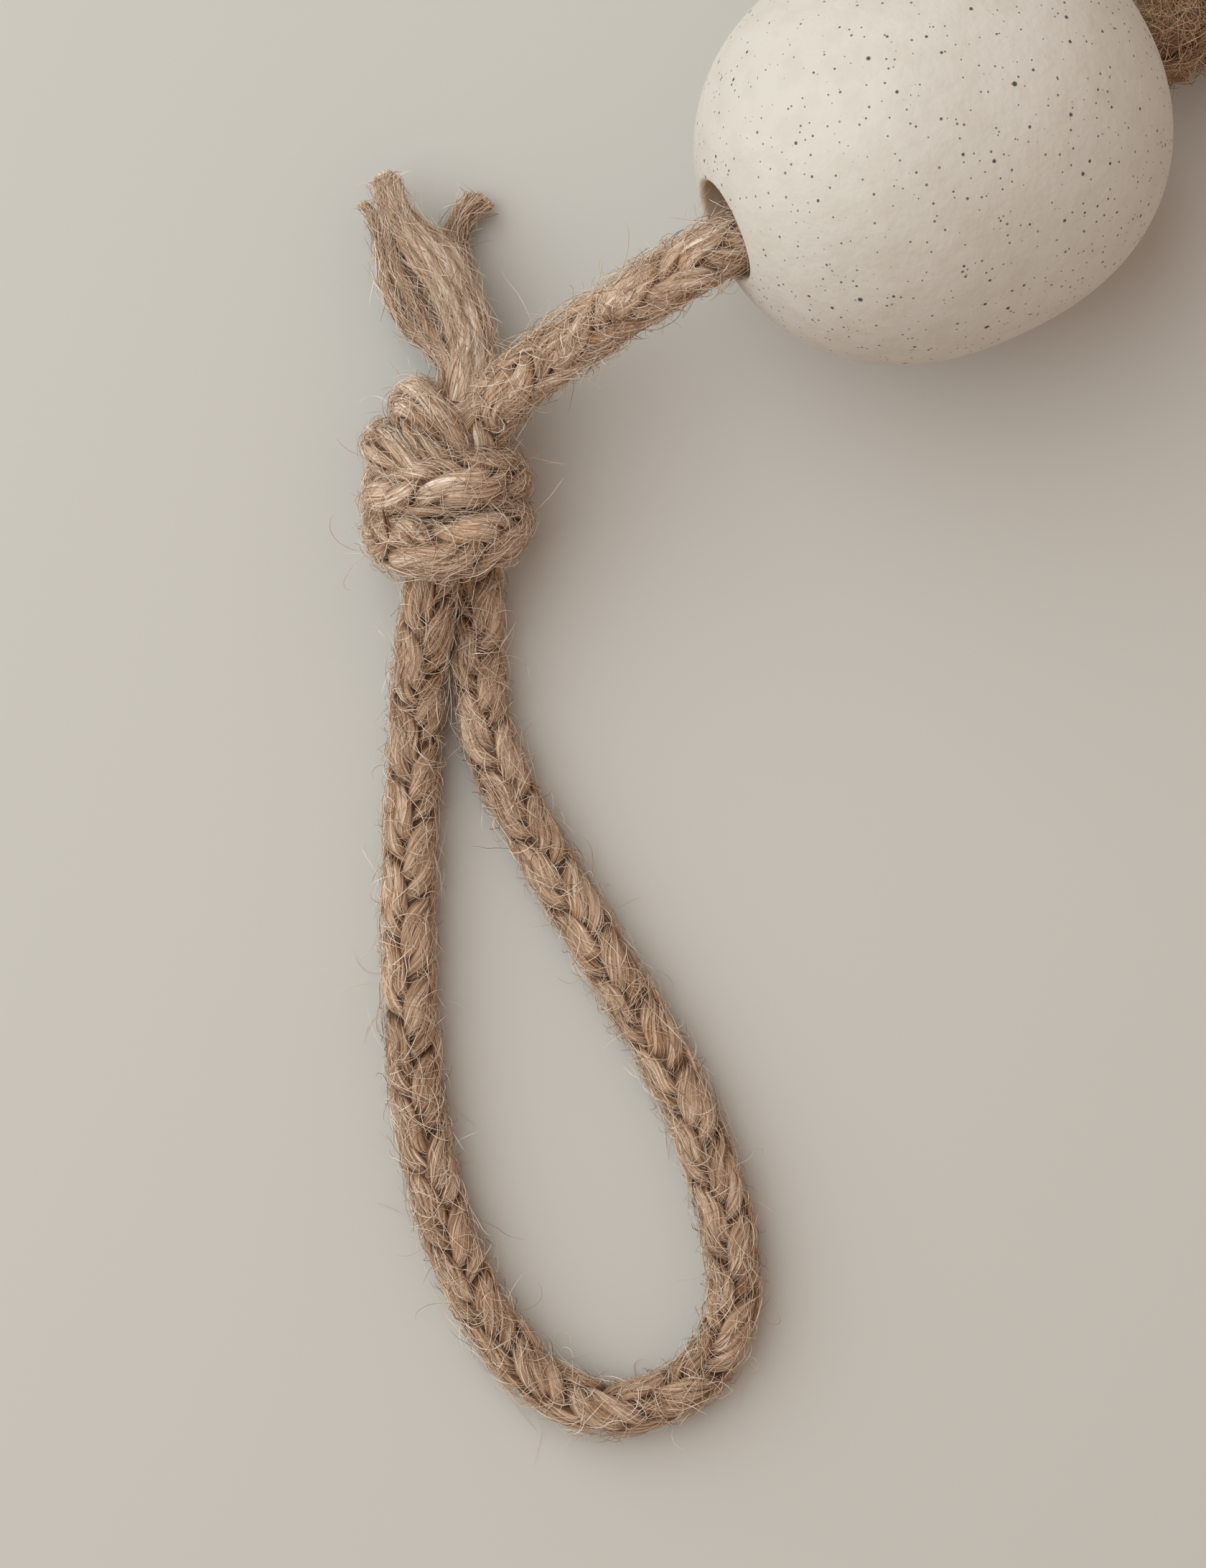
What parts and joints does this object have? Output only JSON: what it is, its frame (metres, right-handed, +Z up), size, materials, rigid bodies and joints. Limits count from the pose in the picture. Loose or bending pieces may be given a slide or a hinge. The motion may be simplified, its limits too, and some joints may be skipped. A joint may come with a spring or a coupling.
{
  "type": "hanging bead on a rope",
  "caption": "Large speckled stoneware bead threaded on plaited jute rope, held between a knotted hanging loop and a stopper knot, as a wall or shelf hanging.",
  "frame": {"origin": "on the surface that the object lies on, under the middle of the bead", "axes": "+Z up from that surface; +X along the bead's longer side, with the bore heading towards +X and a little +Y; the hanging loop points towards -Y"},
  "size_m": [0.1588, 0.2317, 0.0587],
  "materials": {
    "stoneware": "matt, unglazed, speckled",
    "jute": "plaited natural jute, hairy"
  },
  "bodies": {
    "knot": {"loop_knot": "jute"},
    "loop": {"hanging_loop": "jute"},
    "long_tail": {"loop_tail_long": "jute"},
    "short_tail": {"loop_tail_short": "jute"},
    "neck": {"neck_rope": "jute"},
    "strand": {"bore_rope": "jute", "stopper_knot": "jute"},
    "bead": {"bead": "stoneware"},
    "end_tail": {"stopper_tail": "jute"}
  },
  "joints": [
    {"name": "loop_swing", "type": "hinge", "parent": "knot", "child": "loop", "pos_m": [-0.0665, -0.0625, 0.006], "axis": [0, 0, 1], "range_deg": [-18, 18]},
    {"name": "long_tail_swing", "type": "hinge", "parent": "knot", "child": "long_tail", "pos_m": [-0.0649, -0.0268, 0.0092], "axis": [0, 0, 1], "range_deg": [-12, 12]},
    {"name": "short_tail_swing", "type": "hinge", "parent": "knot", "child": "short_tail", "pos_m": [-0.0648, -0.0268, 0.0026], "axis": [0, 0, 1], "range_deg": [-12, 12]},
    {"name": "neck_swing", "type": "hinge", "parent": "knot", "child": "neck", "pos_m": [-0.0565, -0.0313, 0.0178], "axis": [0, 0, 1], "range_deg": [-20, 20]},
    {"name": "strand_swing", "type": "hinge", "parent": "neck", "child": "strand", "pos_m": [-0.0239, -0.0124, 0.0325], "axis": [0, 0, 1], "range_deg": [-8, 8]},
    {"name": "bead_spin", "type": "hinge", "parent": "strand", "child": "bead", "pos_m": [0, 0, 0.02941], "axis": [0.8961, 0.4084, -0.1736], "continuous": true},
    {"name": "end_tail_swing", "type": "hinge", "parent": "strand", "child": "end_tail", "pos_m": [0.0538, 0.0312, 0.0062], "axis": [0, 0, 1], "range_deg": [-20, 20]}
  ]
}
